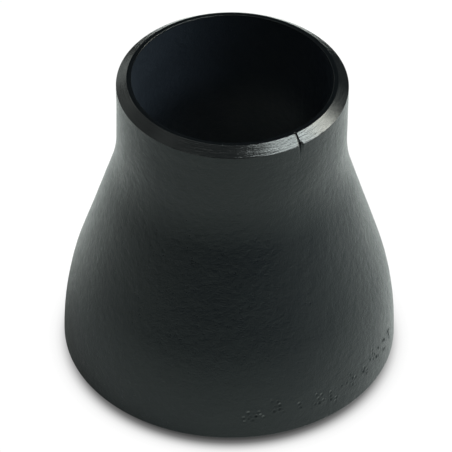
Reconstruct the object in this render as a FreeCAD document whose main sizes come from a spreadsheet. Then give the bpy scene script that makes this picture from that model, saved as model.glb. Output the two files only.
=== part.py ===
import FreeCAD, Part
import math
import os

from FreeCAD import Vector, Rotation, Placement
import Sketcher

# Concentric reducer for butt welding, NPS 3 x NPS 2, schedule 40.
#
# A carbon steel wall formed into a bell shape that joins a 88.9 mm pipe to a
# 60.3 mm pipe on one centre line, 89 mm from end face to end face. Both ends
# are prepared for welding with a 37.5 degree bevel and a narrow root face.
# The wall is closed along one meridian by a longitudinal weld.
#
# Frame: millimetres, +Z up along the centre line from the large end to the
# small end. The origin is the centre of the large end face.

os.makedirs("parts", exist_ok=True)

doc = FreeCAD.newDocument("ConcentricReducer")

# ---------------------------------------------------------------- dimensions
sheet = doc.addObject("Spreadsheet::Sheet", "dims")
sheet.Label = "dims"

DIMENSIONS = [
    # alias, value, what it is
    ("od_large", 88.9, "outside diameter at the large end, mm"),
    ("wall_large", 5.49, "wall at the large end, mm"),
    ("od_small", 60.3, "outside diameter at the small end, mm"),
    ("wall_small", 3.91, "wall at the small end, mm"),
    ("end_to_end", 89.0, "length from end face to end face, mm"),
    ("root_face", 1.2, "radial width of the flat root face, mm"),
    ("bevel_angle", 37.5, "angle of the bevels from the end faces, degrees"),
    ("large_straight_end", 4.75, "height where the large end stops being straight, mm"),
    ("small_straight_start", 70.4, "height where the small end becomes straight, mm"),
    ("shoulder_radius", 85.7, "outside profile radius of the convex shoulder, mm"),
    ("throat_radius", 45.5, "outside profile radius of the concave throat, mm"),
    ("shoulder_radius_inside", 80.2, "inside profile radius of the shoulder, mm"),
    ("throat_radius_inside", 49.4, "inside profile radius of the throat, mm"),
    ("seam_width", 0.9, "width of the longitudinal weld through the wall, mm"),
    ("seam_angle", 306.0, "direction of the weld about +Z from +X, degrees"),
]

D = {}
sheet.set("A1", "name")
sheet.set("B1", "value")
sheet.set("C1", "meaning")
for row, (alias, value, meaning) in enumerate(DIMENSIONS, start=2):
    sheet.set("A%d" % row, alias)
    sheet.set("B%d" % row, "%.6g" % value)
    sheet.setAlias("B%d" % row, alias)
    sheet.set("C%d" % row, meaning)
    D[alias] = value
doc.recompute()


def origin_plane(body, role):
    for feature in body.Origin.OriginFeatures:
        if feature.Role == role:
            return feature
    raise RuntimeError("no plane " + role)


def ogee(r_start, z_start, radius_start, r_end, z_end, radius_end):
    """Tangent chain from the straight large end to the straight small end.

    Returns the centre and far end of the convex arc, and the near end and
    centre of the concave arc, with the slope of the cone between them.
    """
    ca = Vector(r_start - radius_start, z_start, 0)
    cb = Vector(r_end + radius_end, z_end, 0)
    # The cone is the inner common tangent of the two circles.
    dx, dz = cb.x - ca.x, cb.y - ca.y
    span = math.hypot(dx, dz)
    beta = math.atan2(dz, dx) - math.acos((radius_start + radius_end) / span)
    pa = Vector(ca.x + radius_start * math.cos(beta), ca.y + radius_start * math.sin(beta), 0)
    pb = Vector(cb.x - radius_end * math.cos(beta), cb.y - radius_end * math.sin(beta), 0)
    return ca, pa, pb, cb, beta


def wall_profile(body, name):
    """Half section of the wall in the XZ plane: X is radius, Y is height."""
    r1, r2 = D["od_large"] / 2, D["od_small"] / 2
    b1, b2 = r1 - D["wall_large"], r2 - D["wall_small"]
    height, land = D["end_to_end"], D["root_face"]
    slope = math.tan(math.radians(D["bevel_angle"]))
    z1, z4 = D["large_straight_end"], D["small_straight_start"]
    ra, rb = D["shoulder_radius"], D["throat_radius"]
    rai, rbi = D["shoulder_radius_inside"], D["throat_radius_inside"]
    rise1 = (r1 - b1 - land) * slope
    rise2 = (r2 - b2 - land) * slope

    co, po, qo, do, beta_o = ogee(r1, z1, ra, r2, z4, rb)
    ci, pi, qi, di, beta_i = ogee(b1, z1, rai, b2, z4, rbi)
    axis = Vector(0, 0, 1)

    sketch = body.newObject("Sketcher::SketchObject", name)
    sketch.AttachmentSupport = [(origin_plane(body, "XZ_Plane"), "")]
    sketch.MapMode = "FlatFace"

    def line(x0, y0, x1, y1):
        return sketch.addGeometry(Part.LineSegment(Vector(x0, y0, 0), Vector(x1, y1, 0)), False)

    def arc(centre, radius, start, end):
        return sketch.addGeometry(Part.ArcOfCircle(Part.Circle(centre, axis, radius), start, end), False)

    face1 = line(b1, 0, b1 + land, 0)
    bevel1 = line(b1 + land, 0, r1, rise1)
    side1 = line(r1, rise1, r1, z1)
    shoulder = arc(co, ra, 0, beta_o)
    cone = line(po.x, po.y, qo.x, qo.y)
    throat = arc(do, rb, math.pi, math.pi + beta_o)
    side2 = line(r2, z4, r2, height - rise2)
    bevel2 = line(r2, height - rise2, b2 + land, height)
    face2 = line(b2 + land, height, b2, height)
    bore2 = line(b2, height, b2, z4)
    throat_in = arc(di, rbi, math.pi, math.pi + beta_i)
    cone_in = line(qi.x, qi.y, pi.x, pi.y)
    shoulder_in = arc(ci, rai, 0, beta_i)
    bore1 = line(b1, z1, b1, 0)

    C = Sketcher.Constraint

    def add(*args):
        return sketch.addConstraint(C(*args))

    def bound(alias_expression, *args):
        index = sketch.addConstraint(C(*args))
        sketch.setExpression("Constraints[%d]" % index, alias_expression)
        return index

    # The chain, corner by corner.
    add("Coincident", face1, 2, bevel1, 1)
    add("Coincident", bevel1, 2, side1, 1)
    add("Tangent", side1, 2, shoulder, 1)
    add("Tangent", shoulder, 2, cone, 1)
    add("Tangent", cone, 2, throat, 2)
    add("Tangent", throat, 1, side2, 1)
    add("Coincident", side2, 2, bevel2, 1)
    add("Coincident", bevel2, 2, face2, 1)
    add("Coincident", face2, 2, bore2, 1)
    add("Tangent", bore2, 2, throat_in, 1)
    add("Tangent", throat_in, 2, cone_in, 1)
    add("Tangent", cone_in, 2, shoulder_in, 2)
    add("Tangent", shoulder_in, 1, bore1, 1)
    add("Coincident", bore1, 2, face1, 1)
    for flat in (face1, face2):
        add("Horizontal", flat)
    for upright in (side1, side2, bore1, bore2):
        add("Vertical", upright)
    add("PointOnObject", face1, 1, -1)

    # Sizes.
    bound("dims.od_large / 2 - dims.wall_large", "DistanceX", -1, 1, face1, 1, b1)
    bound("dims.root_face", "DistanceX", face1, 1, face1, 2, land)
    bound("dims.od_large / 2", "DistanceX", -1, 1, side1, 1, r1)
    bound("dims.bevel_angle * 1 deg", "Angle", -1, 1, bevel1, 1, math.radians(D["bevel_angle"]))
    bound("dims.large_straight_end", "DistanceY", -1, 1, side1, 2, z1)
    bound("dims.shoulder_radius", "Radius", shoulder, ra)
    bound("dims.od_small / 2", "DistanceX", -1, 1, side2, 1, r2)
    bound("dims.small_straight_start", "DistanceY", -1, 1, side2, 1, z4)
    bound("dims.throat_radius", "Radius", throat, rb)
    bound("dims.od_small / 2 - dims.wall_small", "DistanceX", -1, 1, face2, 2, b2)
    bound("dims.end_to_end", "DistanceY", -1, 1, face2, 2, height)
    bound("dims.root_face", "DistanceX", face2, 2, face2, 1, land)
    bound("(dims.od_small / 2 - (dims.od_small / 2 - dims.wall_small) - dims.root_face) * tan(dims.bevel_angle * 1 deg)",
          "DistanceY", bevel2, 1, bevel2, 2, rise2)
    bound("dims.small_straight_start", "DistanceY", -1, 1, bore2, 2, z4)
    bound("dims.throat_radius_inside", "Radius", throat_in, rbi)
    bound("dims.large_straight_end", "DistanceY", -1, 1, bore1, 1, z1)
    bound("dims.shoulder_radius_inside", "Radius", shoulder_in, rai)
    return sketch, math.degrees(beta_o), math.degrees(beta_i)


def set_seam_direction(body):
    """Both pieces are drawn with the seam at +X, and turned to its real place."""
    body.Placement = Placement(Vector(0, 0, 0), Rotation(Vector(0, 0, 1), D["seam_angle"]))
    body.setExpression(".Placement.Rotation.Angle", "dims.seam_angle * 1 deg")


# --------------------------------------------------------------------- shell
# The formed wall: one turn of the wall section about the centre line, open
# along one meridian where the two edges of the plate face each other.
shell = doc.addObject("PartDesign::Body", "ReducerShell")
shell.Label = "reducer_shell"
shell_profile, cone_outside, cone_inside = wall_profile(shell, "ShellSection")
doc.recompute()

turn = shell.newObject("PartDesign::Revolution", "ShellTurn")
turn.Profile = shell_profile
turn.ReferenceAxis = (shell_profile, ["V_Axis"])
turn.Angle = 360.0
doc.recompute()
volume_whole = turn.Shape.Volume

slit_sketch = shell.newObject("Sketcher::SketchObject", "SeamGapSketch")
slit_sketch.AttachmentSupport = [(origin_plane(shell, "XY_Plane"), "")]
slit_sketch.MapMode = "FlatFace"
half = D["seam_width"] / 2
near, far = 20.0, 50.0
corners = [Vector(near, -half, 0), Vector(far, -half, 0), Vector(far, half, 0), Vector(near, half, 0)]
edge = [slit_sketch.addGeometry(Part.LineSegment(corners[i], corners[(i + 1) % 4]), False) for i in range(4)]
for i in range(4):
    slit_sketch.addConstraint(Sketcher.Constraint("Coincident", edge[i], 2, edge[(i + 1) % 4], 1))
slit_sketch.addConstraint(Sketcher.Constraint("Horizontal", edge[0]))
slit_sketch.addConstraint(Sketcher.Constraint("Horizontal", edge[2]))
slit_sketch.addConstraint(Sketcher.Constraint("Vertical", edge[1]))
slit_sketch.addConstraint(Sketcher.Constraint("Symmetric", edge[0], 1, edge[2], 2, -1))
for expression, args in (
    ("dims.seam_width", ("DistanceY", edge[1], 1, edge[1], 2, D["seam_width"])),
    ("dims.od_small / 2 - dims.wall_small - 6", ("DistanceX", -1, 1, edge[0], 1, near)),
    ("dims.od_large / 2 + 6", ("DistanceX", -1, 1, edge[0], 2, far)),
):
    index = slit_sketch.addConstraint(Sketcher.Constraint(*args))
    slit_sketch.setExpression("Constraints[%d]" % index, expression)
doc.recompute()

slit = shell.newObject("PartDesign::Pocket", "SeamGap")
slit.Profile = slit_sketch
slit.Type = "ThroughAll"
slit.Reversed = True
doc.recompute()
volume_shell = slit.Shape.Volume
set_seam_direction(shell)

# ---------------------------------------------------------------------- weld
# The weld metal that closes the wall: the same wall section, as wide as the
# gap, from the large end's bevel to the small end's bevel.
weld = doc.addObject("PartDesign::Body", "LongitudinalWeld")
weld.Label = "longitudinal_seam_weld"
weld_profile, _, _ = wall_profile(weld, "WeldSection")
doc.recompute()

strip = weld.newObject("PartDesign::Pad", "WeldStrip")
strip.Profile = weld_profile
if hasattr(strip, "SideType"):
    strip.SideType = "Symmetric"
else:
    strip.Midplane = True
strip.Length = D["seam_width"]
strip.setExpression("Length", "dims.seam_width")
doc.recompute()
volume_weld = strip.Shape.Volume
set_seam_direction(weld)

doc.recompute()

# -------------------------------------------------------------------- checks
problems = []
for obj in doc.Objects:
    states = [s for s in obj.State if s in ("Invalid", "Error")]
    if states:
        problems.append("%s: %s" % (obj.Name, ", ".join(states)))
for sketch in (shell_profile, weld_profile, slit_sketch):
    if sketch.solve() != 0:
        problems.append("%s: sketch does not solve" % sketch.Name)
    print(sketch.Name, "degrees of freedom", getattr(sketch, "DoF", "unknown"),
          "fully constrained", sketch.FullyConstrained)
    if not sketch.FullyConstrained:
        problems.append("%s: not fully constrained" % sketch.Name)

SUBPARTS = [shell, weld]
for body in SUBPARTS:
    shape = body.Shape
    if shape.isNull() or not shape.isValid() or len(shape.Solids) != 1:
        problems.append("%s: bad shape" % body.Label)

cut_away = volume_whole - volume_shell
print("whole wall %.1f mm3, shell %.1f mm3, cut away %.1f mm3, weld %.1f mm3"
      % (volume_whole, volume_shell, cut_away, volume_weld))
if not (cut_away > 1.0 and abs(cut_away - volume_weld) < 0.02 * cut_away):
    problems.append("the seam gap and the weld do not match")
common = shell.Shape.common(weld.Shape).Volume
print("overlap %.5f mm3" % common)
if common > 0.01:
    problems.append("the weld overlaps the shell")

if problems:
    raise RuntimeError("; ".join(problems))

for body in SUBPARTS:
    box = body.Shape.BoundBox
    centre = body.Shape.Solids[0].CenterOfMass
    print("%-24s x %.2f..%.2f  y %.2f..%.2f  z %.2f..%.2f  centre %.2f %.2f %.2f"
          % (body.Label, box.XMin, box.XMax, box.YMin, box.YMax, box.ZMin, box.ZMax,
             centre.x, centre.y, centre.z))
    body.Shape.exportStep("parts/%s.step" % body.Label)
print("cone slope outside %.2f deg, inside %.2f deg" % (cone_outside, cone_inside))
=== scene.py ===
import math

import bpy
import numpy as np
from mathutils import Matrix, Vector


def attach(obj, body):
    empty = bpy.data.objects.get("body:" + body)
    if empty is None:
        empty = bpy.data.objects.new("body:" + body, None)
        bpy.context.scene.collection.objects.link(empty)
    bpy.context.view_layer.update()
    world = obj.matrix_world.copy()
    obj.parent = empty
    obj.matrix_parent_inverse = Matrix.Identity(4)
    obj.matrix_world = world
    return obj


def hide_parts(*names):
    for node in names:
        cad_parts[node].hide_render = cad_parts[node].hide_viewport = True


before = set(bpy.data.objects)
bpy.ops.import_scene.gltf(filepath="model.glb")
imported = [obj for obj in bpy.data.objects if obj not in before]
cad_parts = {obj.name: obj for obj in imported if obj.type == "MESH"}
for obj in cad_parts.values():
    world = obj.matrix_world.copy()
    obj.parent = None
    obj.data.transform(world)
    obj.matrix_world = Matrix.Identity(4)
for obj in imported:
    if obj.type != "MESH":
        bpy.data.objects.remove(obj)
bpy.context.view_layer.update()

MM = 0.001

# ---------------------------------------------------------------------------
# Sizes of the fitting, in millimetres: the CAD model's own numbers.
# ---------------------------------------------------------------------------
R1, B1 = 44.45, 38.96            # large end, outside and bore
R2, B2 = 30.15, 26.24            # small end, outside and bore
HEIGHT = 89.0
LAND = 1.2                       # root face
SLOPE = math.tan(math.radians(37.5))
Z1, Z4 = 4.75, 70.4              # where the ends stop being straight
RA, RB, RAI, RBI = 85.7, 45.5, 80.2, 49.4
SEAM_W = 0.9                     # width of the weld strip
SEAM_PHI = math.radians(36.0)    # from the front, -Y, towards +X
RISE1 = (R1 - B1 - LAND) * SLOPE
RISE2 = (R2 - B2 - LAND) * SLOPE


# ---------------------------------------------------------------------------
# The wall's section as two matched runs of points, outside and inside.
# ---------------------------------------------------------------------------
def ogee(r_start, z_start, radius_start, r_end, z_end, radius_end):
    ca = np.array([r_start - radius_start, z_start])
    cb = np.array([r_end + radius_end, z_end])
    d = cb - ca
    beta = math.atan2(d[1], d[0]) - math.acos((radius_start + radius_end) / np.hypot(*d))
    return ca, cb, beta


def fillet(a, b, c, radius, n):
    """Points of an arc that rounds the corner b between the runs a-b and b-c."""
    a, b, c = (np.array(p, float) for p in (a, b, c))
    u, v = (a - b) / np.linalg.norm(a - b), (c - b) / np.linalg.norm(c - b)
    half = math.acos(float(np.clip(u @ v, -1, 1))) / 2
    reach = radius / math.tan(half)
    centre = b + (u + v) / np.linalg.norm(u + v) * radius / math.sin(half)
    p0, p1 = b + u * reach, b + v * reach
    a0 = math.atan2(*(p0 - centre)[::-1])
    a1 = math.atan2(*(p1 - centre)[::-1])
    turn = (a1 - a0 + math.pi) % (2 * math.pi) - math.pi
    t = np.linspace(0, 1, n)
    return [centre + radius * np.array([math.cos(a0 + turn * k), math.sin(a0 + turn * k)]) for k in t]


def run(p, q, spacing, ease=0.0):
    """Points between p and q, without the ends. With ease, a support point close to each end."""
    p, q = np.array(p, float), np.array(q, float)
    length = np.linalg.norm(q - p)
    n = max(1, int(round(length / spacing)))
    t = list(np.arange(1, n) / n)
    if ease:
        t = [ease / length] + [k for k in t if 1.6 * ease / length < k < 1 - 1.6 * ease / length] + [1 - ease / length]
    return [p + (q - p) * k for k in t]


def outside():
    """From the middle of the large end's root face, up the outside, to the middle of the small end's."""
    p0, p1, p2, p3 = (B1, 0), (B1 + LAND, 0), (R1, RISE1), (R1, Z1)
    p6, p7, p8, p9 = (R2, Z4), (R2, HEIGHT - RISE2), (B2 + LAND, HEIGHT), (B2, HEIGHT)
    f1 = fillet(p0, p1, p2, 0.22, 4)
    f2 = fillet(p1, p2, p3, 0.30, 6)
    f7 = fillet(p6, p7, p8, 0.16, 5)
    f8 = fillet(p7, p8, p9, 0.18, 5)
    pts, tag = [], []

    def put(points, name):
        pts.extend(np.array(p, float) for p in points)
        tag.extend([name] * len(points))

    put([(B1 + LAND / 2, 0)], "face")
    put(f1, "edge")
    put(run(f1[-1], f2[0], 0.62, 0.12), "bevel")
    put(f2, "edge")
    ca, cb, beta = ogee(R1, Z1, RA, R2, Z4, RB)
    # The wall itself, closer together where the punched marks are.
    z_wall = [f2[-1][1] + 0.15, Z1]
    z = Z1
    while z < Z4 - 0.8:
        z += 0.30 if 7.4 <= z <= 14.8 else (0.7 if z < 20 else 1.45)
        z_wall.append(min(z, Z4))
    if z_wall[-1] < Z4:
        z_wall.append(Z4)
    z = Z4
    top = f7[0][1] - 0.15
    steps = int((top - Z4) / 1.3)
    z_wall += [Z4 + (top - Z4) * k / steps for k in range(1, steps + 1)]
    put([(outer_radius(z), z) for z in z_wall], "wall")
    put(f7, "edge")
    put(run(f7[-1], f8[0], 0.27, 0.1), "bevel")
    put(f8, "edge")
    put([(B2 + LAND / 2, HEIGHT)], "face")
    return np.array(pts), tag


def s_curve(z, r1, r2, ra, rb):
    ca, cb, beta = ogee(r1, Z1, ra, r2, Z4, rb)
    za, zb = Z1 + ra * math.sin(beta), Z4 - rb * math.sin(beta)
    if z <= Z1:
        return r1
    if z <= za:
        return ca[0] + math.sqrt(ra * ra - (z - Z1) ** 2)
    if z <= zb:
        return ca[0] + ra * math.cos(beta) - (z - za) * math.tan(beta)
    if z <= Z4:
        return cb[0] - math.sqrt(rb * rb - (Z4 - z) ** 2)
    return r2


def outer_radius(z):
    return s_curve(z, R1, R2, RA, RB)


def inner_radius(z):
    return s_curve(z, B1, B2, RAI, RBI)


def inside(count):
    """The same number of points on the bore, from large end to small end."""
    q0 = fillet((B1 + LAND, 0), (B1, 0), (B1, Z1), 0.25, 5)
    q9 = fillet((B2, Z4), (B2, HEIGHT), (B2 + LAND, HEIGHT), 0.12, 6)
    n = count - len(q0) - len(q9) - 2
    lo, hi = q0[-1][1] + 0.15, q9[0][1] - 0.15
    z = [lo] + list(np.linspace(lo, hi, n + 2)[1:-1]) + [hi]
    pts = list(q0) + [np.array([inner_radius(k), k]) for k in z] + list(q9)
    return np.array(pts)


OUT, TAG = outside()
INN = inside(len(OUT))
N = len(OUT)
print("rings", N, len(INN))


def normals_2d(points, side):
    d = np.gradient(points, axis=0)
    n = np.stack([d[:, 1], -d[:, 0]], -1) * side
    return n / np.linalg.norm(n, axis=1)[:, None]


OUT_N = normals_2d(OUT, 1.0)
INN_N = normals_2d(INN, -1.0)


# ---------------------------------------------------------------------------
# Shape that the sections don't have: forming undulation, tool marks on the
# bevels, the seam's hollow and notch, punched dots. All go into the metal.
# ---------------------------------------------------------------------------
rng = np.random.default_rng(20311)


def waves(count, low, high, seed):
    """A sum of gentle waves over the wall, periodic round the centre line, about -1 to 1."""
    r = np.random.default_rng(seed)
    rows = []
    for _ in range(count):
        wavelength = r.uniform(low, high)
        direction = r.uniform(0, 2 * math.pi)
        k_around = round(2 * math.pi * 38 / wavelength * math.cos(direction))
        k_up = 2 * math.pi / wavelength * math.sin(direction)
        rows.append((k_around, k_up, r.uniform(0, 2 * math.pi), r.uniform(0.6, 1.0)))
    total = sum(w[3] ** 2 for w in rows) ** 0.5

    def value(phi, z):
        out = np.zeros(np.broadcast(phi, z).shape)
        for ka, ku, ph, amp in rows:
            out = out + amp * np.cos(ka * phi + ku * z + ph)
        return out / total

    return value


swell = waves(14, 14, 38, 7)       # slow undulation from forming
ripple = waves(30, 3.6, 8, 11)     # finer unevenness of the coat


def smooth(a, b, x):
    t = np.clip((x - a) / (b - a), 0, 1)
    return t * t * (3 - 2 * t)


# Punched dots: loose clusters that stand for the hard-stamped band, and spell nothing.
DOTS = []
for centre_deg, middle, spread_up, count in (
    (6.1, 10.8, 2.2, 4), (8.4, 9.6, 1.5, 3), (10.6, 11.4, 1.6, 4), (16.6, 12.6, 2.1, 6), (18.6, 10.6, 1.1, 2),
    (25.5, 10.4, 1.5, 2), (32.2, 11.2, 2.0, 5), (36.9, 11.0, 1.6, 2), (38.6, 9.4, 1.9, 4), (44.0, 12.2, 1.5, 2),
    (48.2, 11.4, 1.9, 4), (54.6, 11.0, 2.0, 4), (59.6, 13.0, 1.9, 5), (63.8, 11.6, 1.9, 3),
    (68.2, 11.6, 2.0, 4), (73.6, 11.4, 2.0, 4),
):
    cluster = []
    for _ in range(400):
        if len(cluster) == count:
            break
        x = rng.uniform(-1.25, 1.25)
        y = rng.uniform(-spread_up, spread_up)
        if all(math.hypot(x - c[0], y - c[1]) > 1.0 for c in cluster):
            cluster.append((x, y))
    for x, y in cluster:
        phi = math.radians(centre_deg) + x / 44.2
        if abs((phi - SEAM_PHI) * 44.2) < 1.2:
            phi = SEAM_PHI + math.copysign(1.2, phi - SEAM_PHI) / 44.2
        # The last value marks the dots that get a painted highlight in the colour.
        DOTS.append((phi, middle + y, rng.uniform(0.46, 0.64), rng.uniform(0.16, 0.30), float(rng.uniform() < 0.45)))


def dent(phi, z, r):
    """Depth below the true surface of the outside wall, in mm, at least 0."""
    depth = 0.035 * (1 - swell(phi, z)) + 0.009 * (1 - ripple(phi, z))
    depth = np.maximum(depth, 0)
    # The ground-off seam is a very shallow flat, a little lower than the wall on both sides.
    off = np.abs((phi - SEAM_PHI + math.pi) % (2 * math.pi) - math.pi) * r
    depth = depth + 0.012 * (1 - smooth(1.0, 5.0, off))
    for p, zz, rad, deep, _ in DOTS:
        turn = (phi - p + math.pi) % (2 * math.pi) - math.pi
        d = np.hypot(turn * 44.2, z - zz)
        bowl = deep * (1 - smooth(0.0, rad, d))
        rim = 0.05 * np.exp(-((d - rad * 1.1) / 0.16) ** 2)
        depth = depth + bowl - rim
    return depth


def painted_dot_glint(phi, z):
    """0 to 1 over the painted highlights: pale specks a little above the middle of some punched dots."""
    out = np.zeros(np.broadcast(phi, z).shape)
    for p, zz, rad, _, pale in DOTS:
        if pale:
            turn = (phi - p + math.pi) % (2 * math.pi) - math.pi
            d = np.hypot(turn * 44.2 * 1.15, z - zz - 0.16)
            out = np.maximum(out, 1 - smooth(0.1 * rad, 0.8 * rad, d))
    return out


def ring_marks(n, seed, size):
    r = np.random.default_rng(seed)
    v = r.normal(0, 1, n)
    v = np.convolve(v, [0.25, 0.5, 0.25], "same")
    return size * (v - v.max())


def seam_notch(tag, z):
    """How deep the shell's edge is broken beside the weld, and how far that reaches, in mm."""
    if tag == "edge" and HEIGHT - 3.5 < z < HEIGHT - 1.0:
        return 0.19, 0.42
    if tag == "bevel" and z > 50:
        k = 1 - float(smooth(HEIGHT - RISE2, HEIGHT - RISE2 + 0.7, z))
        return 0.015 + 0.17 * k, 0.12 + 0.30 * k
    if tag == "wall" and z > HEIGHT - 5.0:
        k = float(smooth(HEIGHT - 4.2, HEIGHT - RISE2, z))
        return 0.004 + 0.17 * k ** 3, 0.25 + 0.17 * k
    if tag in ("bevel", "edge") and z < 10:
        return 0.03, 0.15
    return 0.004, 0.25


def groove(tag, z):
    """The open root that shows in the weld's end: place across the strip, half width and depth, in mm."""
    if tag in ("bevel", "edge") and z > 50:
        k = float(smooth(HEIGHT - RISE2 - 0.3, HEIGHT, z))
        return -0.14 + 0.30 * k, 0.26, 0.42 - 0.10 * k
    if tag == "face" and z > 50:
        return 0.16, 0.20, 0.12
    if tag == "wall" and z > HEIGHT - 7.0:
        k = float(smooth(HEIGHT - 7.0, HEIGHT - RISE2, z))
        return -0.14, 0.24, 0.005 + 0.30 * k ** 2
    if z < 10 and tag in ("bevel", "edge"):
        return 0.05, 0.22, 0.15
    return -0.1, 0.25, 0.005


# ---------------------------------------------------------------------------
# Shell
# ---------------------------------------------------------------------------
def columns():
    """Positions round the shell, as degrees from one side of the seam to the other."""
    near = [0.0, 0.16, 0.34, 0.56, 0.84, 1.18]
    first = near + list(np.arange(1.55, 43.0, 0.385))
    last = [360 - k for k in near][::-1]
    second = list(np.arange(328.0, 358.6, 0.385))
    gap = np.linspace(first[-1], second[0], 158)[1:-1]
    return np.array(first + list(gap) + second + last)


DELTA = columns()
M = len(DELTA)
print("columns", M, "faces", 2 * N * (M - 1))


def ring_phi(r):
    alpha = math.asin(SEAM_W / 2 / r)
    return SEAM_PHI + alpha + (2 * math.pi - 2 * alpha) * DELTA / 360


bevel_marks = {}
rows_bevel = [i for i in range(N) if TAG[i] == "bevel"]
marks = ring_marks(len(rows_bevel), 5, 0.0035)
for i, m in zip(rows_bevel, marks):
    bevel_marks[i] = m


def surface_point(p, n, phi, off):
    """3-D points at azimuth phi of a profile point p moved by off along its normal n."""
    r = p[0] + n[0] * off
    z = p[1] + n[1] * off
    return np.stack([r * np.sin(phi), -r * np.cos(phi), z + 0 * phi], -1)


def fade_at_ends(z):
    """The undulation dies out towards the machined ends."""
    return float(smooth(RISE1 + 0.3, RISE1 + 5, z) * (1 - smooth(HEIGHT - RISE2 - 6, HEIGHT - RISE2 - 0.2, z)))


def shell_grid():
    outer = np.zeros((N, M, 3))
    inner = np.zeros((N, M, 3))
    for i in range(N):
        r, z = OUT[i]
        phi = ring_phi(r)
        off = np.zeros(M)
        if TAG[i] == "wall":
            k = fade_at_ends(z)
            off -= dent(phi, z, r) * (k if not 7.0 <= z <= 15 else 1.0)
        if i in bevel_marks:
            off += bevel_marks[i] * (1 + 0.4 * np.sin(3 * phi + 0.7 * i))
        depth, reach = seam_notch(TAG[i], z)
        edge = np.minimum(DELTA, 360 - DELTA) / 360 * 2 * math.pi * r
        off -= depth * (1 - smooth(0.0, reach, edge))
        outer[i] = surface_point(OUT[i], OUT_N[i], phi, off)
    for i in range(N):
        r, z = INN[i]
        phi = ring_phi(r)
        k = float(smooth(4, 10, z) * (1 - smooth(72, 80, z)))
        off = -0.05 * k * np.maximum(1 - swell(phi + 2.1, z), 0) - 0.01 * k * np.maximum(1 - ripple(phi + 1.3, z), 0)
        inner[i] = surface_point(INN[i], INN_N[i], phi, off)
    return outer, inner


def make_mesh(name, verts, faces, smooth_flags, slots, sharp):
    mesh = bpy.data.meshes.new(name)
    mesh.from_pydata(verts.tolist(), [], faces)
    mesh.polygons.foreach_set("use_smooth", smooth_flags)
    mesh.polygons.foreach_set("material_index", slots)
    if sharp:
        flag = mesh.attributes.get("sharp_edge") or mesh.attributes.new("sharp_edge", "BOOLEAN", "EDGE")
        values = np.zeros(len(mesh.edges), bool)
        pairs = np.zeros(len(mesh.edges) * 2, np.int32)
        mesh.edges.foreach_get("vertices", pairs)
        for k, (a, b) in enumerate(pairs.reshape(-1, 2)):
            if (min(a, b), max(a, b)) in sharp:
                values[k] = True
        flag.data.foreach_set("value", values)
    mesh.update()
    mesh.validate()
    obj = bpy.data.objects.new(name, mesh)
    bpy.context.scene.collection.objects.link(obj)
    return obj


def band_faces(loop, width, flip):
    """Quads over a closed loop of rings, each with `width` points."""
    faces, rows = [], []
    count = len(loop)
    for a in range(count):
        i, j = loop[a], loop[(a + 1) % count]
        for k in range(width - 1):
            q = (i * width + k, i * width + k + 1, j * width + k + 1, j * width + k)
            faces.append(q[::-1] if flip else q)
            rows.append((a, k))
    return faces, rows


def build(name, outer, inner, width):
    verts = np.concatenate([outer.reshape(-1, 3), inner.reshape(-1, 3)]) * MM
    n = outer.shape[0]
    # Closed loop of rings: up the outside, over the small end, down the bore, under the large end.
    loop = list(range(n)) + [n + i for i in range(n - 1, -1, -1)]
    faces, rows = band_faces(loop, width, flip=False)
    slots = []
    for a, _ in rows:
        i = loop[a]
        j = loop[(a + 1) % len(loop)]
        machined = False
        if i < n and j < n:
            machined = TAG[i] in ("bevel", "face") or TAG[j] in ("bevel", "face") or (TAG[i] == "edge" and TAG[j] == "edge")
        elif (i < n) != (j < n):
            machined = True
        slots.append(1 if machined else (2 if i >= n and j >= n else 0))
        if i >= n and j >= n and max(i - n, j - n) >= n - 6:
            slots[-1] = 1
    smooth_flags = [True] * len(faces)
    sharp = set()
    # Side faces that look into the seam: quads between matched rings.
    for k, flip in ((0, False), (width - 1, True)):
        for i in range(n - 1):
            a, b = i * width + k, (i + 1) * width + k
            c, d = (n + i + 1) * width + k, (n + i) * width + k
            q = (a, b, c, d)
            faces.append(q[::-1] if flip else q)
            slots.append(0)
            smooth_flags.append(False)
            sharp.add((min(a, b), max(a, b)))
            sharp.add((min(c, d), max(c, d)))
        for i in (0, n - 1):
            a, d = i * width + k, (n + i) * width + k
            sharp.add((min(a, d), max(a, d)))
    return make_mesh(name, verts, faces, smooth_flags, slots, sharp)


outer, inner = shell_grid()
shell = build("reducer_shell_skin", outer, inner, M)
# Painted highlights at the punched dots, carried to the material as a point attribute.
dot_glint = np.zeros(2 * N * M, np.float32)
for i in range(N):
    if TAG[i] == "wall" and 7.0 <= OUT[i][1] <= 16.5:
        dot_glint[i * M:(i + 1) * M] = painted_dot_glint(ring_phi(OUT[i][0]), OUT[i][1])
shell.data.attributes.new("dot_glint", "FLOAT", "POINT").data.foreach_set("value", dot_glint)

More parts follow.
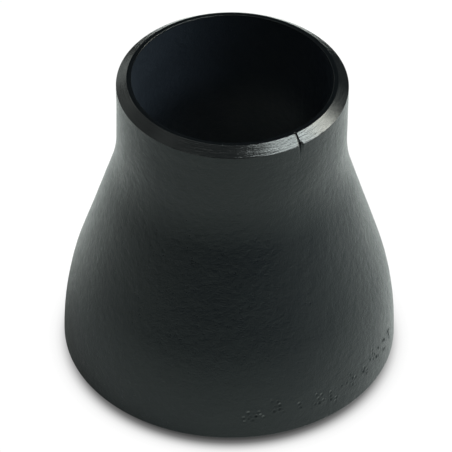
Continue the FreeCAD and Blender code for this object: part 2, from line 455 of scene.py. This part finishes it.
# ---------------------------------------------------------------------------
# Weld strip: the same section, as wide as the gap, sunk a little on the bevels.
# ---------------------------------------------------------------------------
ACROSS = np.array([-0.45, -0.40, -0.33, -0.26, -0.19, -0.12, -0.05, 0.02, 0.09, 0.16, 0.23, 0.30, 0.37, 0.42, 0.45])
W = len(ACROSS)
bead = np.random.default_rng(99)
w_outer = np.zeros((N, W, 3))
w_inner = np.zeros((N, W, 3))
bumps = np.convolve(bead.normal(0, 1, N + 8), np.ones(5) / 5, "same")[4:-4]
for i in range(N):
    r, z = OUT[i]
    phi = SEAM_PHI + np.arcsin(ACROSS / r)
    depth, reach = seam_notch(TAG[i], z)
    place, half, deep = groove(TAG[i], z)
    cut = deep * (1 - smooth(0.25 * half, half, np.abs(ACROSS - place)))
    off = -depth - cut
    if TAG[i] == "wall":
        off = off - dent(phi, z, r) * (fade_at_ends(z) if not 7.0 <= z <= 15 else 1.0)
        off = off - 0.004 * bumps[i] * (1 - (ACROSS / 0.45) ** 2)
    if i in bevel_marks:
        off = off + bevel_marks[i]
    w_outer[i] = surface_point(OUT[i], OUT_N[i], phi, off)
    r, z = INN[i]
    phi = SEAM_PHI + np.arcsin(ACROSS / r)
    k = float(smooth(4, 10, z) * (1 - smooth(72, 80, z)))
    off = -0.05 * k * np.maximum(1 - swell(phi + 2.1, z), 0) - 0.01 * k * np.maximum(1 - ripple(phi + 1.3, z), 0)
    w_inner[i] = surface_point(INN[i], INN_N[i], phi, off)
weld = build("seam_weld_strip", w_outer, w_inner, W)

# Faces look outwards: the signed volume says so.
import bmesh
for obj in (shell, weld):
    bm = bmesh.new()
    bm.from_mesh(obj.data)
    volume = bm.calc_volume(signed=True)
    open_edges = sum(1 for e in bm.edges if len(e.link_faces) != 2)
    print(obj.name, "volume mm3 %.1f" % (volume * 1e9), "open edges", open_edges, "faces", len(bm.faces))
    if volume < 0:
        bmesh.ops.reverse_faces(bm, faces=bm.faces[:])
        bm.to_mesh(obj.data)
    bm.free()


# ---------------------------------------------------------------------------
# Materials
# ---------------------------------------------------------------------------
class Nodes:
    """Short hand for a material's node tree."""

    def __init__(self, name):
        self.material = bpy.data.materials.new(name)
        self.material.use_nodes = True
        self.tree = self.material.node_tree
        self.tree.nodes.clear()
        self.out = self.node("ShaderNodeOutputMaterial")
        self.bsdf = self.node("ShaderNodeBsdfPrincipled")
        self.link(self.bsdf.outputs["BSDF"], self.out.inputs["Surface"])

    def node(self, kind, **props):
        n = self.tree.nodes.new(kind)
        for key, value in props.items():
            setattr(n, key, value)
        return n

    def link(self, a, b):
        self.tree.links.new(a, b)

    def math(self, op, a, b=None, c=None):
        n = self.node("ShaderNodeMath", operation=op)
        for i, v in enumerate((a, b, c)):
            if v is None:
                continue
            if isinstance(v, (int, float)):
                n.inputs[i].default_value = v
            else:
                self.link(v, n.inputs[i])
        return n.outputs[0]

    def noise(self, vector, scale, detail=2.0, rough=0.5, dims="3D"):
        n = self.node("ShaderNodeTexNoise", noise_dimensions=dims)
        n.inputs["Scale"].default_value = scale
        n.inputs["Detail"].default_value = detail
        n.inputs["Roughness"].default_value = rough
        self.link(vector, n.inputs["Vector"])
        return n.outputs["Fac"]

    def remap(self, value, a, b, c, d):
        n = self.node("ShaderNodeMapRange")
        n.inputs["From Min"].default_value = a
        n.inputs["From Max"].default_value = b
        n.inputs["To Min"].default_value = c
        n.inputs["To Max"].default_value = d
        self.link(value, n.inputs["Value"])
        return n.outputs["Result"]

    def ramp(self, fac, stops):
        n = self.node("ShaderNodeValToRGB")
        e = n.color_ramp.elements
        e[0].position, e[0].color = stops[0][0], (*stops[0][1], 1)
        e[1].position, e[1].color = stops[-1][0], (*stops[-1][1], 1)
        for pos, col in stops[1:-1]:
            x = e.new(pos)
            x.color = (*col, 1)
        self.link(fac, n.inputs["Fac"])
        return n.outputs["Color"]

    def bump(self, height, strength, distance, normal=None):
        n = self.node("ShaderNodeBump")
        n.inputs["Strength"].default_value = strength
        n.inputs["Distance"].default_value = distance
        self.link(height, n.inputs["Height"])
        if normal is not None:
            self.link(normal, n.inputs["Normal"])
        return n.outputs["Normal"]

    def mm(self):
        """Object position in millimetres, as a vector, and x, y, z."""
        tc = self.node("ShaderNodeTexCoord")
        sc = self.node("ShaderNodeVectorMath", operation="SCALE")
        sc.inputs["Scale"].default_value = 1000.0
        self.link(tc.outputs["Object"], sc.inputs[0])
        sep = self.node("ShaderNodeSeparateXYZ")
        self.link(sc.outputs[0], sep.inputs[0])
        return sc.outputs[0], sep.outputs[0], sep.outputs[1], sep.outputs[2]

    def combine(self, x, y, z):
        n = self.node("ShaderNodeCombineXYZ")
        for i, v in enumerate((x, y, z)):
            if isinstance(v, (int, float)):
                n.inputs[i].default_value = v
            else:
                self.link(v, n.inputs[i])
        return n.outputs[0]


def varnish(name, roughness, level, grain, base_low, base_high, tint=(1, 1, 1)):
    m = Nodes(name)
    pos, x, y, z = m.mm()
    r = m.math("SQRT", m.math("ADD", m.math("MULTIPLY", x, x), m.math("MULTIPLY", y, y)))
    ux = m.math("MULTIPLY", m.math("DIVIDE", x, r), 40.0)
    uy = m.math("MULTIPLY", m.math("DIVIDE", y, r), 40.0)
    along = m.combine(ux, uy, m.math("MULTIPLY", z, 0.06))

    cloud = m.noise(pos, 0.055, 4.0, 0.55)       # how thick the coat lies, over centimetres
    mottle = m.noise(pos, 0.55, 3.0, 0.6)        # blotches of a few millimetres
    fine = m.noise(pos, 2.6, 3.0, 0.65)          # grit in the coat
    streak = m.noise(along, 1.1, 3.0, 0.6)       # drawing marks along the wall

    tone = m.math("ADD", m.math("MULTIPLY", cloud, 0.5), m.math("ADD", m.math("MULTIPLY", mottle, 0.25), m.math("MULTIPLY", fine, 0.25)))
    colour = m.ramp(tone, [(0.36, base_low), (0.52, tuple((a + b) / 2 for a, b in zip(base_low, base_high))), (0.66, base_high)])
    # Painted highlights: pale specks mixed into the base colour at some punched dots, in place of glints off their
    # walls.
    dot_glint = m.node("ShaderNodeAttribute", attribute_name="dot_glint")
    dot_glint_amount = m.math("MULTIPLY", dot_glint.outputs["Fac"], m.remap(fine, 0.35, 0.62, 0.25, 1.0))
    blend = m.node("ShaderNodeMix", data_type="RGBA")
    m.link(dot_glint_amount, blend.inputs[0])
    m.link(colour, blend.inputs[6])
    blend.inputs[7].default_value = (0.16, 0.165, 0.16, 1)
    m.link(blend.outputs[2], m.bsdf.inputs["Base Color"])

    rough = m.math("ADD", m.remap(mottle, 0.3, 0.7, roughness - 0.035, roughness + 0.045),
                   m.math("ADD", m.remap(fine, 0.3, 0.7, -0.03, 0.03), m.remap(streak, 0.3, 0.7, -0.025, 0.025)))
    m.link(rough, m.bsdf.inputs["Roughness"])
    m.bsdf.inputs["IOR"].default_value = 1.5
    m.bsdf.inputs["Specular IOR Level"].default_value = level
    m.bsdf.inputs["Specular Tint"].default_value = (*tint, 1)
    m.bsdf.inputs["Metallic"].default_value = 0.0

    n1 = m.bump(mottle, 0.9, 0.00015 * grain)
    n2 = m.bump(streak, 0.5, 0.000016 * grain, n1)
    n3 = m.bump(fine, 1.0, 0.00009 * grain, n2)
    m.link(n3, m.bsdf.inputs["Normal"])
    return m.material


def machined(name, roughness, level, base_low, base_high):
    """The bevels and root faces: turned on a lathe, then varnished thinly."""
    m = Nodes(name)
    pos, x, y, z = m.mm()
    r = m.math("SQRT", m.math("ADD", m.math("MULTIPLY", x, x), m.math("MULTIPLY", y, y)))
    ux = m.math("MULTIPLY", m.math("DIVIDE", x, r), 6.0)
    uy = m.math("MULTIPLY", m.math("DIVIDE", y, r), 6.0)
    # Tool marks run round the part, so they change fast with radius and slowly with angle.
    rings = m.noise(m.combine(m.math("MULTIPLY", r, 3.4), m.math("MULTIPLY", z, 3.4), m.math("ADD", ux, uy)), 1.0, 3.0, 0.6)
    broad = m.noise(m.combine(m.math("MULTIPLY", ux, 0.35), m.math("MULTIPLY", uy, 0.35), m.math("MULTIPLY", r, 0.5)), 1.0, 2.0, 0.5)
    fine = m.noise(pos, 2.2, 3.0, 0.6)
    tone = m.math("ADD", m.math("MULTIPLY", rings, 0.5), m.math("MULTIPLY", fine, 0.5))
    colour = m.ramp(tone, [(0.36, base_low), (0.66, base_high)])
    m.link(colour, m.bsdf.inputs["Base Color"])
    rough = m.math("ADD", m.remap(rings, 0.3, 0.7, roughness - 0.05, roughness + 0.05),
                   m.math("ADD", m.remap(fine, 0.3, 0.7, -0.03, 0.03), m.remap(broad, 0.3, 0.7, -0.04, 0.04)))
    m.link(rough, m.bsdf.inputs["Roughness"])
    m.bsdf.inputs["IOR"].default_value = 1.5
    m.bsdf.inputs["Specular IOR Level"].default_value = level
    n1 = m.bump(rings, 0.8, 0.00007)
    n2 = m.bump(fine, 0.8, 0.00004, n1)
    m.link(n2, m.bsdf.inputs["Normal"])
    return m.material


DARK = (0.0008, 0.0016, 0.0038)
LIGHT = (0.0030, 0.0042, 0.0056)
TINT = (0.90, 1.0, 0.95)
wall_mat = varnish("black_varnish_wall", 0.32, 0.21, 1.0, DARK, LIGHT, TINT)
# The bore's coat is painted paler than the wall's coat: painted fill light that lifts the dim inside of the bore.
painted_fill_bore_mat = varnish("black_varnish_bore", 0.50, 0.14, 0.8, (0.0112, 0.0145, 0.0200), (0.0145, 0.0180, 0.0250), TINT)
bevel_mat = machined("black_varnish_bevel", 0.14, 0.44, (0.0014, 0.0019, 0.0026), (0.0034, 0.0042, 0.0048))
weld_mat = varnish("black_varnish_weld", 0.33, 0.21, 1.1, DARK, LIGHT, TINT)
weld_bevel_mat = machined("black_varnish_weld_end", 0.22, 0.38, (0.0012, 0.0015, 0.0020), (0.0028, 0.0032, 0.0038))

shell.data.materials.append(wall_mat)
shell.data.materials.append(bevel_mat)
shell.data.materials.append(painted_fill_bore_mat)
weld.data.materials.append(weld_mat)
weld.data.materials.append(weld_bevel_mat)
weld.data.materials.append(painted_fill_bore_mat)

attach(shell, "root")
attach(weld, "root")
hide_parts("reducer_shell")
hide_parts("longitudinal_seam_weld")

# The CAD nodes stay hidden behind the pieces above, with the same finish.
for node, mat in (("reducer_shell", wall_mat), ("longitudinal_seam_weld", weld_mat)):
    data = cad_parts[node]
    for s in data.material_slots:
        s.material = mat


# ---------------------------------------------------------------------------
# Stage: a pale sweep of paper, dark studio in front, softboxes.
# ---------------------------------------------------------------------------
def paper():
    """White paper. In shot it is an emitted white with a painted contact shadow close under the part; to other rays it
    is diffuse paper with painted shade near the part.
    """
    mat = bpy.data.materials.new("paper")
    mat.use_nodes = True
    t = mat.node_tree
    t.nodes.clear()
    out = t.nodes.new("ShaderNodeOutputMaterial")
    dif = t.nodes.new("ShaderNodeBsdfDiffuse")
    dif.inputs["Color"].default_value = (0.86, 0.86, 0.855, 1)
    glow = t.nodes.new("ShaderNodeEmission")
    glow.inputs["Strength"].default_value = 1.03
    tc = t.nodes.new("ShaderNodeTexCoord")
    far = t.nodes.new("ShaderNodeVectorMath")
    far.operation = "LENGTH"
    scale = t.nodes.new("ShaderNodeMapRange")
    for key, val in (("From Min", 0.038), ("From Max", 0.054), ("To Min", 0.0), ("To Max", 1.0)):
        scale.inputs[key].default_value = val
    # Painted contact shadow: for camera rays the emitted white darkens by a ramp over the distance from the centre
    # line, not by a cast shadow.
    shade = t.nodes.new("ShaderNodeValToRGB")
    stops = ((38.0, 0.022), (40.3, 0.030), (41.5, 0.080), (42.7, 0.19), (43.5, 0.36), (44.3, 0.55),
             (45.1, 0.71), (46.0, 0.85), (47.2, 0.93), (49.0, 0.975), (52.0, 1.0))
    e = shade.color_ramp.elements
    for k, (r, v) in enumerate(stops):
        place = (r - 38.0) / 16.0
        x = e[k] if k < 2 else e.new(place)
        x.position = place
        x.color = (v, v, v, 1)
    # Painted shade: to other rays the paper's diffuse colour is darker in a ring round the part.
    near = t.nodes.new("ShaderNodeValToRGB")
    e = near.color_ramp.elements
    for k, (r, v) in enumerate(((38.0, 0.86), (40.0, 0.62), (47.0, 0.70), (54.0, 0.86))):
        x = e[k] if k < 2 else e.new((r - 38.0) / 16.0)
        x.position = (r - 38.0) / 16.0
        x.color = (v, v, v, 1)
    t.links.new(scale.outputs["Result"], near.inputs["Fac"])
    t.links.new(near.outputs["Color"], dif.inputs["Color"])
    lp = t.nodes.new("ShaderNodeLightPath")
    shot = t.nodes.new("ShaderNodeMixShader")
    clear = t.nodes.new("ShaderNodeBsdfTransparent")
    geo = t.nodes.new("ShaderNodeNewGeometry")
    mix = t.nodes.new("ShaderNodeMixShader")
    t.links.new(tc.outputs["Object"], far.inputs[0])
    t.links.new(far.outputs["Value"], scale.inputs["Value"])
    t.links.new(scale.outputs["Result"], shade.inputs["Fac"])
    t.links.new(shade.outputs["Color"], glow.inputs["Color"])
    t.links.new(lp.outputs["Is Camera Ray"], shot.inputs[0])
    t.links.new(dif.outputs[0], shot.inputs[1])
    t.links.new(glow.outputs[0], shot.inputs[2])
    t.links.new(geo.outputs["Backfacing"], mix.inputs[0])
    t.links.new(shot.outputs[0], mix.inputs[1])
    t.links.new(clear.outputs[0], mix.inputs[2])
    t.links.new(mix.outputs[0], out.inputs["Surface"])
    return mat


FRONT_EDGE, BACK_EDGE = -0.40, 0.21
mesh = bpy.data.meshes.new("paper_floor")
zf = -0.00015
mesh.from_pydata([(-0.9, FRONT_EDGE, zf), (0.9, FRONT_EDGE, zf), (0.9, BACK_EDGE, zf), (-0.9, BACK_EDGE, zf)], [], [(0, 1, 2, 3)])
floor = bpy.data.objects.new("paper_floor", mesh)
bpy.context.scene.collection.objects.link(floor)
mesh.materials.append(paper())

CENTRE = Vector((0, 0, 0.045))


def softbox_axes(name, direction, along, distance, width, height, radiance, colour):
    """An even rectangle of light that faces the part. Its width lies along the given axis."""
    light = bpy.data.lights.new(name, "AREA")
    light.shape = "RECTANGLE"
    light.size, light.size_y = width, height
    light.energy = radiance * math.pi * width * height
    light.color = colour
    obj = bpy.data.objects.new(name, light)
    z = Vector(direction).normalized()
    x = Vector(along)
    x = (x - z * x.dot(z)).normalized()
    y = z.cross(x)
    p = CENTRE + z * distance
    obj.matrix_world = Matrix(((x.x, y.x, z.x, p.x), (x.y, y.y, z.y, p.y), (x.z, y.z, z.z, p.z), (0, 0, 0, 1)))
    obj.visible_camera = False
    bpy.context.scene.collection.objects.link(obj)
    return obj


def turned(v, axis, angle):
    return Matrix.Rotation(angle, 3, Vector(axis).normalized()) @ Vector(v)


# One large softbox on the right, in panels: it is brighter towards its front end.
KEY_A = Vector((0.399, -0.328, 0.855)).normalized()
KEY_B = Vector((0.768, 0.494, 0.406)).normalized()
KEY_C = (KEY_A + KEY_B).normalized()
KEY_AXIS = KEY_A.cross(KEY_B).normalized()
PANELS = {
    (-1.5, -1): 25.0, (-1.5, 0): 12.0,
    (-0.5, 0): 18.5,
    (0.5, 0): 17.0,
    (1.5, 0): 2.2, (1.5, 1): 9.5,
}
for (step, row), radiance in PANELS.items():
    d1 = turned(KEY_C, KEY_AXIS, math.radians(14) * step)
    along = KEY_AXIS.cross(d1)
    d2 = turned(d1, along, math.radians(16) * row)
    softbox_axes("softbox_%d_%d" % (step * 2 + 4, row + 2), d2, along, 1.2,
                 2 * math.tan(math.radians(7)) * 1.2, 2 * math.tan(math.radians(8)) * 1.2,
                 radiance, (0.97, 1.0, 0.91) if step > 0 else (0.90, 1.0, 0.985))

world = bpy.data.worlds.new("studio")
bpy.context.scene.world = world
world.use_nodes = True
t = world.node_tree
t.nodes.clear()
out = t.nodes.new("ShaderNodeOutputWorld")
tc = t.nodes.new("ShaderNodeTexCoord")

# Soft patches of light in a dark room: azimuth, elevation and half width in degrees, radiance.
PATCHES = (
    (30, 8, 13, 0.76), (60, 8, 13, 0.05), (120, 8, 13, 0.95), (150, 8, 13, 1.0), (180, 8, 13, 0.15),
    (15, 32, 14, 1.05), (159, 32, 14, 0.45), (195, 32, 14, 0.60),
    (190, 57, 14, 0.40), (250, 57, 14, 0.27), (310, 57, 14, 0.63),
    (150, 80, 13, 2.31),
)
total = None
for az, el, wide, radiance in PATCHES:
    a_, e_ = math.radians(az), math.radians(el)
    dot = t.nodes.new("ShaderNodeVectorMath")
    dot.operation = "DOT_PRODUCT"
    t.links.new(tc.outputs["Generated"], dot.inputs[0])
    dot.inputs[1].default_value = (math.cos(e_) * math.cos(a_), math.cos(e_) * math.sin(a_), math.sin(e_))
    spot = t.nodes.new("ShaderNodeMapRange")
    spot.interpolation_type = "SMOOTHSTEP"
    for key, val in (("From Min", math.cos(math.radians(wide + 6))), ("From Max", math.cos(math.radians(wide - 6))),
                     ("To Min", 0.0), ("To Max", radiance)):
        spot.inputs[key].default_value = val
    t.links.new(dot.outputs["Value"], spot.inputs["Value"])
    if total is None:
        total = spot.outputs["Result"]
    else:
        add = t.nodes.new("ShaderNodeMath")
        add.operation = "ADD"
        t.links.new(total, add.inputs[0])
        t.links.new(spot.outputs["Result"], add.inputs[1])
        total = add.outputs[0]
base = t.nodes.new("ShaderNodeMath")
base.operation = "ADD"
base.inputs[1].default_value = 0.03
t.links.new(total, base.inputs[0])
lp = t.nodes.new("ShaderNodeLightPath")
seen = t.nodes.new("ShaderNodeMix")
seen.data_type = "FLOAT"
t.links.new(lp.outputs["Is Camera Ray"], seen.inputs[0])
t.links.new(base.outputs[0], seen.inputs[2])
seen.inputs[3].default_value = 1.0
bg = t.nodes.new("ShaderNodeBackground")
hue = t.nodes.new("ShaderNodeMix")
hue.data_type = "RGBA"
t.links.new(lp.outputs["Is Camera Ray"], hue.inputs[0])
hue.inputs[6].default_value = (0.93, 1.0, 0.955, 1)
hue.inputs[7].default_value = (1, 1, 1, 1)
t.links.new(hue.outputs[2], bg.inputs["Color"])
t.links.new(seen.outputs[0], bg.inputs["Strength"])
t.links.new(bg.outputs[0], out.inputs["Surface"])

# ---------------------------------------------------------------------------
# Camera
# ---------------------------------------------------------------------------
ELEV, DIST, FOCAL, TX, TZ, ROLL = 40.66, 1265.67, 4771.62, -1.19, 38.55, 0.73
e, ro = math.radians(ELEV), math.radians(ROLL)
back_dir = Vector((0, -math.cos(e), math.sin(e)))
fwd = -back_dir
right = Vector((1, 0, 0))
up = right.cross(fwd)
r2 = math.cos(ro) * right + math.sin(ro) * up
u2 = -math.sin(ro) * right + math.cos(ro) * up
cam_data = bpy.data.cameras.new("camera")
cam_data.sensor_width = 36.0
cam_data.lens = 36.0 * FOCAL / 452.0
cam_data.clip_start, cam_data.clip_end = 0.05, 50
cam_data.dof.use_dof = False
cam = bpy.data.objects.new("camera", cam_data)
loc = (Vector((TX, 0, TZ)) + DIST * back_dir) * MM
cam.matrix_world = Matrix((
    (r2.x, u2.x, back_dir.x, loc.x),
    (r2.y, u2.y, back_dir.y, loc.y),
    (r2.z, u2.z, back_dir.z, loc.z),
    (0, 0, 0, 1),
))
bpy.context.scene.collection.objects.link(cam)
bpy.context.scene.camera = cam
bpy.context.scene.view_settings.view_transform = "Standard"
bpy.context.scene.view_settings.look = "None"
